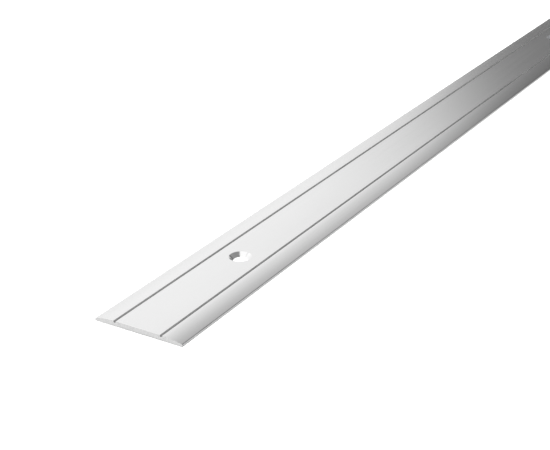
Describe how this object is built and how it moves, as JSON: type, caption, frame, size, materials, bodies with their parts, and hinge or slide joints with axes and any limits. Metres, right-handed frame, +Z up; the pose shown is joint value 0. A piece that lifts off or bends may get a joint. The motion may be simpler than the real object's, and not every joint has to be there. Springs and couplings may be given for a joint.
{
  "type": "threshold strip",
  "caption": "Flat screw-down aluminium threshold strip with two lengthwise grooves, thin rounded flanks, countersunk holes, and its screws in nylon wall plugs.",
  "frame": {"origin": "middle of the strip's flat underside, which lies on the floor", "axes": "+X along the strip, away from the end with the open hole; +Y across it; +Z up, out of the floor"},
  "size_m": [0.9, 0.03, 0.03],
  "materials": {
    "anodised_aluminium": "satin silver anodised, with a faint lengthwise extrusion grain",
    "zinc_plated_steel": "bright zinc plated",
    "grey_nylon": "plain moulded nylon"
  },
  "bodies": {
    "root": {"strip": "anodised_aluminium", "screw_2": "zinc_plated_steel", "screw_3": "zinc_plated_steel", "screw_4": "zinc_plated_steel", "wall_plug_2": "grey_nylon", "wall_plug_3": "grey_nylon", "wall_plug_4": "grey_nylon"}
  },
  "joints": []
}
